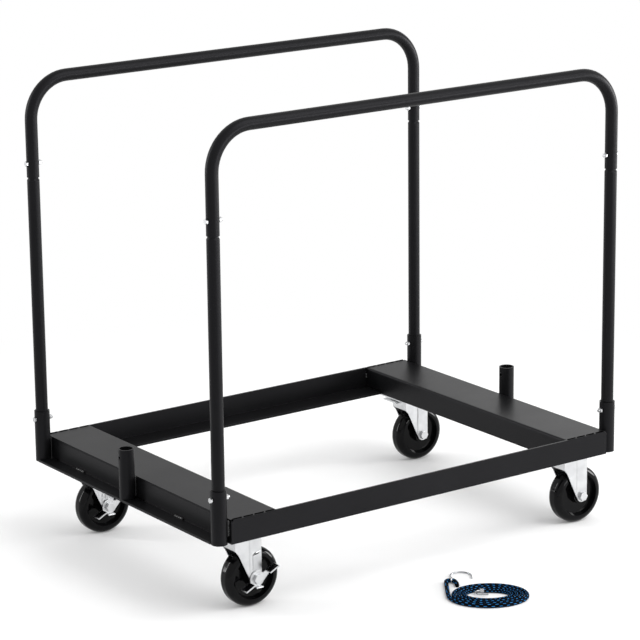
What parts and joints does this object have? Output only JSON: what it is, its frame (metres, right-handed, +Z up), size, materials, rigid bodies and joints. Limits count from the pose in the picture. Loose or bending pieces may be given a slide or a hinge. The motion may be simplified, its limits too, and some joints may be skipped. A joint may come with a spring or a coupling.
{
  "type": "panel transport cart",
  "caption": "Low steel cart for folded tables or panels: angle base with end decks and sockets, two bolted tube hoops, swivel casters with rocker brakes, and a coiled elastic tie-down cord.",
  "frame": {"origin": "on the floor, under the middle of the cart", "axes": "+X along the side rails towards the end without brakes, +Y from the front rail to the rear rail, +Z up"},
  "size_m": [1.0596, 0.9886, 1.022],
  "materials": {
    "black_powder_coat": "satin powder coat",
    "zinc_plate": "bright zinc plate",
    "black_wheel": "glossy moulded polymer",
    "cord_braid": "black braid with blue flecks",
    "bright_wire": "bright plated wire"
  },
  "bodies": {
    "frame": {"side_rail_front": "black_powder_coat", "side_rail_rear": "black_powder_coat", "end_angle_left": "black_powder_coat", "end_angle_right": "black_powder_coat", "deck_left": "black_powder_coat", "deck_right": "black_powder_coat", "caster_pads": "black_powder_coat", "corner_socket_front_left": "black_powder_coat", "corner_socket_front_right": "black_powder_coat", "corner_socket_rear_left": "black_powder_coat", "corner_socket_rear_right": "black_powder_coat", "centre_socket_left": "black_powder_coat", "centre_socket_right": "black_powder_coat", "lower_post_front_left": "black_powder_coat", "lower_post_front_right": "black_powder_coat", "lower_post_rear_left": "black_powder_coat", "lower_post_rear_right": "black_powder_coat", "hoop_front": "black_powder_coat", "hoop_rear": "black_powder_coat", "hoop_bolts": "zinc_plate", "hoop_nuts": "zinc_plate", "socket_bolts": "zinc_plate", "socket_nuts": "zinc_plate", "caster_plate_front_left": "zinc_plate", "caster_plate_front_right": "zinc_plate", "caster_plate_rear_left": "zinc_plate", "caster_plate_rear_right": "zinc_plate", "caster_bolts": "zinc_plate", "caster_nuts": "zinc_plate", "kingpins": "zinc_plate", "race_rings": "zinc_plate", "race_balls": "zinc_plate"},
    "swivel_front_left": {"fork_front_left": "zinc_plate", "wheel_bush_front_left": "zinc_plate", "axle_front_left": "zinc_plate"},
    "roller_front_left": {"wheel_front_left": "black_wheel"},
    "brake_front_left": {"brake_lever_front_left": "zinc_plate"},
    "swivel_front_right": {"fork_front_right": "zinc_plate", "wheel_bush_front_right": "zinc_plate", "axle_front_right": "zinc_plate"},
    "roller_front_right": {"wheel_front_right": "black_wheel"},
    "swivel_rear_left": {"fork_rear_left": "zinc_plate", "wheel_bush_rear_left": "zinc_plate", "axle_rear_left": "zinc_plate"},
    "roller_rear_left": {"wheel_rear_left": "black_wheel"},
    "brake_rear_left": {"brake_lever_rear_left": "zinc_plate"},
    "swivel_rear_right": {"fork_rear_right": "zinc_plate", "wheel_bush_rear_right": "zinc_plate", "axle_rear_right": "zinc_plate"},
    "roller_rear_right": {"wheel_rear_right": "black_wheel"},
    "tie_cord": {"cord_coil": "cord_braid", "cord_hook_outer": "bright_wire", "cord_hook_inner": "bright_wire", "cord_sleeve": "bright_wire"}
  },
  "joints": [
    {"name": "swivel_front_left", "type": "hinge", "parent": "frame", "child": "swivel_front_left", "pos_m": [-0.4331, -0.2868, 0.158], "axis": [0, 0, 1], "continuous": true},
    {"name": "roll_front_left", "type": "hinge", "parent": "swivel_front_left", "child": "roller_front_left", "pos_m": [-0.3984, -0.2868, 0.0635], "axis": [0, 1, 0], "continuous": true},
    {"name": "brake_front_left", "type": "hinge", "parent": "swivel_front_left", "child": "brake_front_left", "pos_m": [-0.3984, -0.2868, 0.0635], "axis": [0, 1, 0], "range_deg": [0, 28]},
    {"name": "swivel_front_right", "type": "hinge", "parent": "frame", "child": "swivel_front_right", "pos_m": [0.4331, -0.2868, 0.158], "axis": [0, 0, 1], "continuous": true},
    {"name": "roll_front_right", "type": "hinge", "parent": "swivel_front_right", "child": "roller_front_right", "pos_m": [0.4678, -0.2868, 0.0635], "axis": [0, 1, 0], "continuous": true},
    {"name": "swivel_rear_left", "type": "hinge", "parent": "frame", "child": "swivel_rear_left", "pos_m": [-0.4331, 0.2868, 0.158], "axis": [0, 0, 1], "continuous": true},
    {"name": "roll_rear_left", "type": "hinge", "parent": "swivel_rear_left", "child": "roller_rear_left", "pos_m": [-0.3984, 0.2868, 0.0635], "axis": [0, 1, 0], "continuous": true},
    {"name": "brake_rear_left", "type": "hinge", "parent": "swivel_rear_left", "child": "brake_rear_left", "pos_m": [-0.3984, 0.2868, 0.0635], "axis": [0, 1, 0], "range_deg": [0, 28]},
    {"name": "swivel_rear_right", "type": "hinge", "parent": "frame", "child": "swivel_rear_right", "pos_m": [0.4331, 0.2868, 0.158], "axis": [0, 0, 1], "continuous": true},
    {"name": "roll_rear_right", "type": "hinge", "parent": "swivel_rear_right", "child": "roller_rear_right", "pos_m": [0.4678, 0.2868, 0.0635], "axis": [0, 1, 0], "continuous": true},
    {"name": "tie_cord_lift", "type": "slide", "parent": "frame", "child": "tie_cord", "axis": [0, 0, 1], "range_m": [0, 0.3]}
  ]
}
